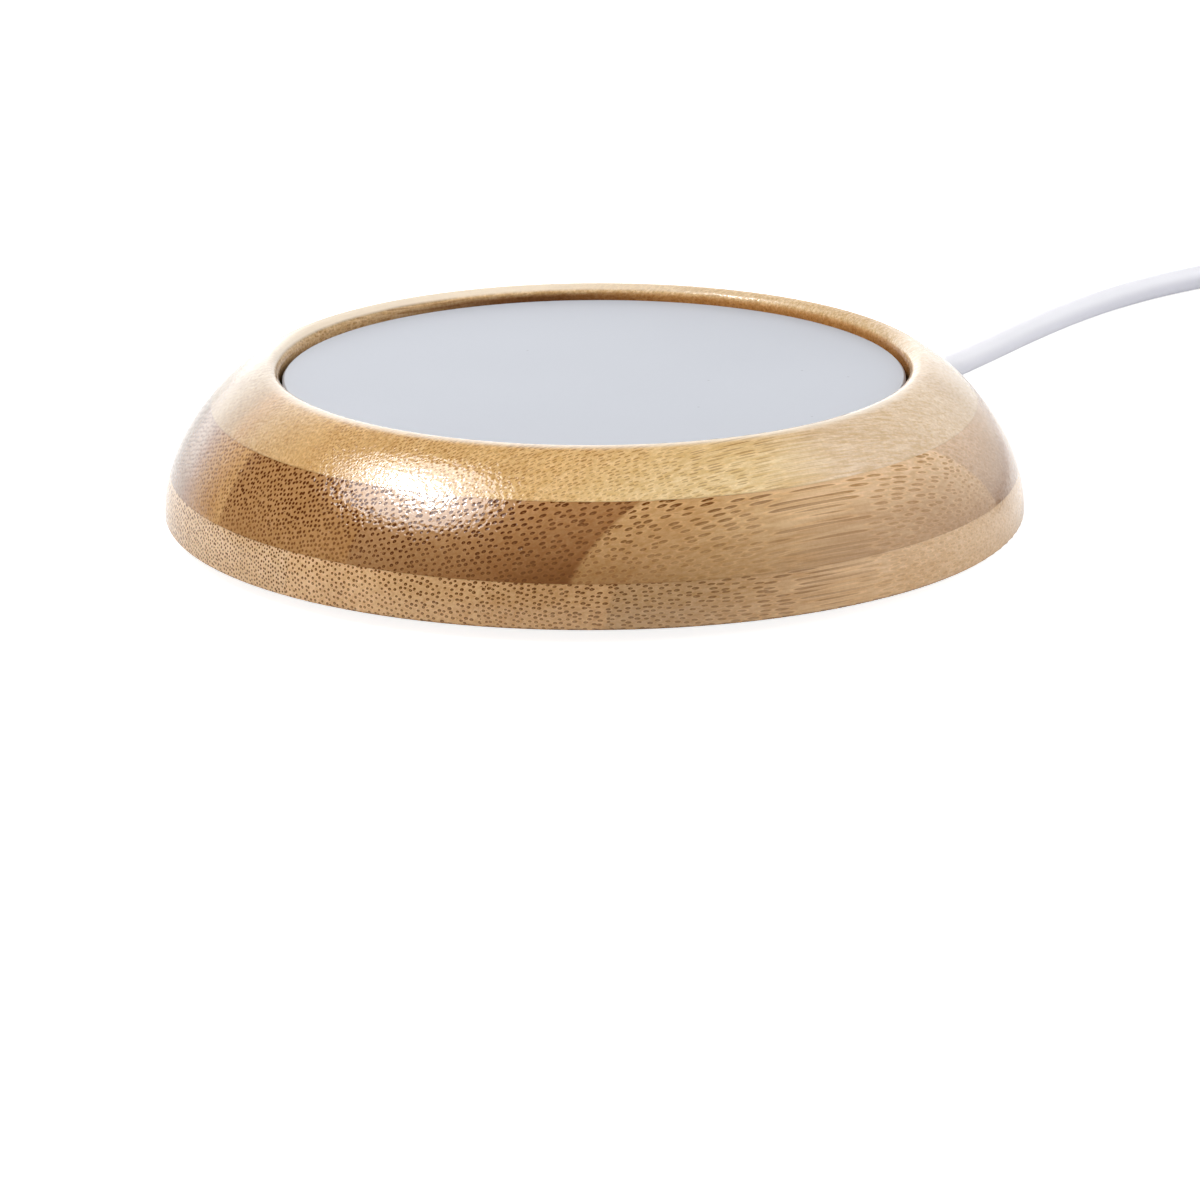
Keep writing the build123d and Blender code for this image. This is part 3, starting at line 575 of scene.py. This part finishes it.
paint(
    bamboo(
        "bamboo_bottom", span=(1.6, 6.9),
        tones=[
            (-54, (250, 220, 186)), (-20, (250, 218, 182)), (-9, (246, 212, 172)),
            (12.9, (244, 210, 170)), (13, (244, 206, 162)), (24, (236, 196, 150)),
            (28, (223, 183, 136)), (35.5, (216, 175, 128)), (35.6, (215, 174, 127)),
            (44.9, (208, 167, 121)), (45, (195, 159, 117)), (49, (193, 157, 116)),
            (54, (234, 198, 156)),
        ],
        far_tones=[
            (-54, (240, 206, 164)), (44, (228, 194, 153)), (50, (230, 196, 156)),
            (54, (240, 206, 166)),
        ],
        low_shade=[(-54, 0.06)],
        mottle=[(-54, 0.12)], streak_tint=(0.80, 0.72, 0.60, 1),
        cells=[(-54, 0.6), (-9, 0.5), (13, 0.62), (35.6, 0.52), (45, 0.5)],
        sizes=[(-54, 0.28), (-9, 0.28), (13, 0.27), (35.6, 0.28), (45, 0.27)],
        cores=[(-54, 0.1), (13, 0.4)],
        lattice_turn=-18, seed=23.3,
        darkness=[
            (-54, 0.7), (-22, 0.75), (-9, 1.05), (13, 1.0), (34, 0.85), (45, 0.75), (50, 0.5),
        ],
        far_darkness=[(-54, 0.16)],
        low_fade=[(-54, 0.9)],
        clustering=0.12,
        fibre_tint=(0.2, 0.11, 0.04), far_fibre_tint=(0.4, 0.3, 0.1),
        seams=[-31, -9, 13, 35.6, 45], glue_lines=[6.9],
    ),
    "bamboo_bottom_ply",
)


# ---- heating plate, inner parts, cord and plug ------------------------------------------


def plain(
    name, colour, roughness, grain, grain_scale=900, spread=0.04, underside_shade=None, metallic=0.0
):
    """One substance with slight mottling, a surface grain that many millimetres deep, and painted
    shade on its underside where asked.
    """
    g = Material(name)
    cloud = g.noise(g.place, 60, 3.0)
    darker = tuple(c * (1 - spread) for c in srgb(*colour)[:3]) + (1,)
    tinted = g.mix(g.ramp_up(cloud, 0.35, 0.65), srgb(*colour), darker)
    # painted shade: a greyer colour on the side towards the table
    if underside_shade:  # the colour of the side towards the table
        facing = g.node("SeparateXYZ", g.node("TexCoord").outputs["Normal"]).outputs["Z"]
        tinted = g.mix(g.ramp_down(facing, -0.2, 0.7), tinted, srgb(*underside_shade))
    rough = g.between(g.noise(g.place, 240, 2.0), roughness * 0.88, min(1, roughness * 1.12))
    return g.finish(
        base_color=tinted, roughness=rough, metallic=metallic,
        normal=g.bump(g.noise(g.place, grain_scale, 2.0, 0.6), grain * MM, 0.5),
    )


def plate_coating():
    """Pale grey coating, sprayed on the plate: a fine grain and a few dust specks."""
    g = Material("plate_coating")
    cloud = g.noise(g.place, 18, 2.0)
    colour = g.mix(g.ramp_up(cloud, 0.3, 0.7), srgb(192, 196, 205), srgb(188, 192, 201))
    cell_of = g.flat_cells(g.place, 150)
    dusty = g.math("GREATER_THAN", g.node("SeparateColor", cell_of["Color"]).outputs[0], 0.93)
    speck = g.product(g.ramp_down(cell_of["Distance"], 0.012, 0.03), dusty, 0.55)
    return g.finish(
        base_color=g.mix(speck, colour, srgb(140, 140, 148)), roughness=0.5,
        normal=g.bump(g.noise(g.place, 2600, 2.0, 0.6), 0.008 * MM, 0.5),
    )


paint(plate_coating(), "heating_plate")
paint(plain("silicone_grey", (96, 96, 100), 0.55, 0.01), "plate_seal")
paint(plain("film_amber", (190, 118, 38), 0.25, 0.004, spread=0.12), "heater_film")
paint(plain("track_foil", (176, 172, 166), 0.32, 0.006, 2400, metallic=1.0), "heater_track")
paint(plain("pad_white", (226, 222, 210), 0.95, 0.15, 1400, spread=0.14), "insulation_pad")
paint(plain("thermostat_black", (36, 36, 38), 0.38, 0.006), "thermostat")
paint(plain("fuse_metal", (186, 184, 178), 0.3, 0.004, 3000, metallic=1.0), "thermal_fuse")
paint(plain("sleeve_white", (232, 230, 222), 0.8, 0.06, 2600, spread=0.1), "fuse_sleeve")
paint(plain("carrier_black", (40, 40, 42), 0.5, 0.02, 1500), "heater_carrier")
paint(plain("cover_black", (46, 46, 48), 0.55, 0.03, 1300), "base_cover")
paint(
    plain("screw_steel", (172, 172, 174), 0.28, 0.004, 3000, metallic=1.0),
    "plate_screws", "carrier_screws", "base_screws", "clamp_screws",
)
paint(
    plain("foot_rubber", (34, 34, 36), 0.78, 0.03, 1800),
    "rubber_foot_1", "rubber_foot_2", "rubber_foot_3", "rubber_foot_4",
)
# painted shade: the cord is greyer on its side towards the table
jacket = plain(
    "cord_white", (249, 249, 255), 0.42, 0.006, 1200, spread=0.015, underside_shade=(222, 222, 231)
)
paint(jacket, "strain_relief", "cord_clamp", "usb_cord_inner_end")
curve.materials.append(jacket)
paint(plain("lead_red", (168, 34, 30), 0.4, 0.006), "supply_lead", "link_lead", "heater_lead")
paint(plain("lead_white", (226, 226, 224), 0.4, 0.006), "return_lead")
paint(plain("plug_white", (236, 236, 240), 0.38, 0.015, 1400, spread=0.015), "usb_plug_body")
paint(plain("plug_shell", (196, 197, 200), 0.36, 0.004, 2600, metallic=0.65), "usb_plug_shell")
paint(plain("tongue_white", (232, 232, 232), 0.4, 0.004), "usb_plug_tongue")
paint(plain("contact_gold", (214, 170, 84), 0.22, 0.003, 2600, metallic=1.0), "usb_plug_contacts")


# ---- floor, world and lights ------------------------------------------------------------

HALF_FLOOR = 3.0
FLOOR_HEIGHT = -0.02 * MM  # a hair under the feet, so that it doesn't share their faces
# how bright the floor is by itself: for the camera, and for mirrored rays in front and behind
FLOOR_SEEN = 0.84
FLOOR_MIRRORED = (0.02, 0.7)

floor_mesh = bpy.data.meshes.new("floor")
floor_mesh.from_pydata(
    [
        (x * HALF_FLOOR, y * HALF_FLOOR, FLOOR_HEIGHT)
        for x, y in ((-1, -1), (1, -1), (1, 1), (-1, 1))
    ],
    [], [(0, 1, 2, 3)],
)
floor = bpy.data.objects.new("floor", floor_mesh)
scene.collection.objects.link(floor)

floor_look = Material("floor_white")
rays, mirrored = floor_look.ray_kinds()
back_part = floor_look.ramp_up(
    floor_look.vector("DOT_PRODUCT", floor_look.place, BEHIND), -0.04, 0.02
)
floor_mesh.materials.append(floor_look.finish(
    base_color=(0.8, 0.8, 0.8, 1), roughness=1.0, specular_ior_level=0.0, emission_color=WHITE,
    emission_strength=floor_look.math(
        "ADD", floor_look.product(rays["Is Camera Ray"], FLOOR_SEEN),
        floor_look.product(mirrored, floor_look.between(back_part, *FLOOR_MIRRORED)),
    ),
))

# The lacquer mirrors a room that is bright behind the ring and at its right, and dim in front.
# The camera sees plain white, and AMBIENT is the level that lights the object.
AMBIENT = 0.36
ROOM_FRONT = 0.06
ROOM_BACK = (2.4, 1.0)  # at the left and at the right
ROOM_RIGHT = 1.3
RIGHT_AND_UP = (0.73, 0.64, 0.25)

world = bpy.data.worlds.new("white_room")
world.use_nodes = True
scene.world = world
room = Graph(world.node_tree)
rays, mirrored = room.ray_kinds()
ray = room.node("TexCoord").outputs["Generated"]
toward_back = room.vector("DOT_PRODUCT", ray, BEHIND)
toward_right = room.vector("DOT_PRODUCT", ray, RIGHT_AND_UP)
back_level = room.between(room.ramp_up(toward_right, 0.0, 0.6), *ROOM_BACK)
mirror_level = room.math(
    "MULTIPLY_ADD", room.ramp_up(toward_back, 0.5, 0.9), back_level, ROOM_FRONT
)
mirror_level = room.math(
    "MULTIPLY_ADD", room.ramp_up(toward_right, 0.5, 1.0), ROOM_RIGHT, mirror_level
)
brighter = room.product(mirrored, room.math("SUBTRACT", mirror_level, AMBIENT))
background = world.node_tree.nodes["Background"]
background.inputs["Color"].default_value = WHITE
room.feed(
    background.inputs["Strength"],
    room.math("MAXIMUM", room.math("ADD", AMBIENT, brighter), rays["Is Camera Ray"]),
)


def softbox(name, azimuth, elevation, distance, size, power, seen_by):
    """A soft light that faces the ring, seen either by its diffuse or by its glossy rays."""
    az, el = math.radians(azimuth), math.radians(elevation)
    away = Vector((math.cos(el) * math.cos(az), math.cos(el) * math.sin(az), math.sin(el)))
    lamp = bpy.data.lights.new(name, "AREA")
    lamp.shape = "ELLIPSE"
    lamp.size, lamp.size_y = size
    lamp.energy = power
    made = bpy.data.objects.new(name, lamp)
    made.location = away * distance
    made.rotation_euler = away.to_track_quat("Z", "Y").to_euler()
    made.visible_camera = False
    made.visible_glossy = seen_by == "glossy"
    made.visible_diffuse = seen_by == "diffuse"
    scene.collection.objects.link(made)


# name, azimuth, elevation, distance, size, power, seen by
softbox("key", -134, 57.2, 1.0, (0.46, 0.42), 5.3, "diffuse")
softbox("key_mirrored", -130.8, 55.6, 1.0, (0.36, 0.175), 8.8, "glossy")
softbox("key_fringe", -130.8, 55.0, 1.05, (0.78, 0.60), 10.6, "glossy")
softbox("fill", -50, 12, 1.6, (1.6, 0.8), 5.6, "diffuse")
softbox("side", 41, 28, 1.6, (1.8, 1.4), 9.0, "diffuse")

scene.view_settings.view_transform = "Standard"
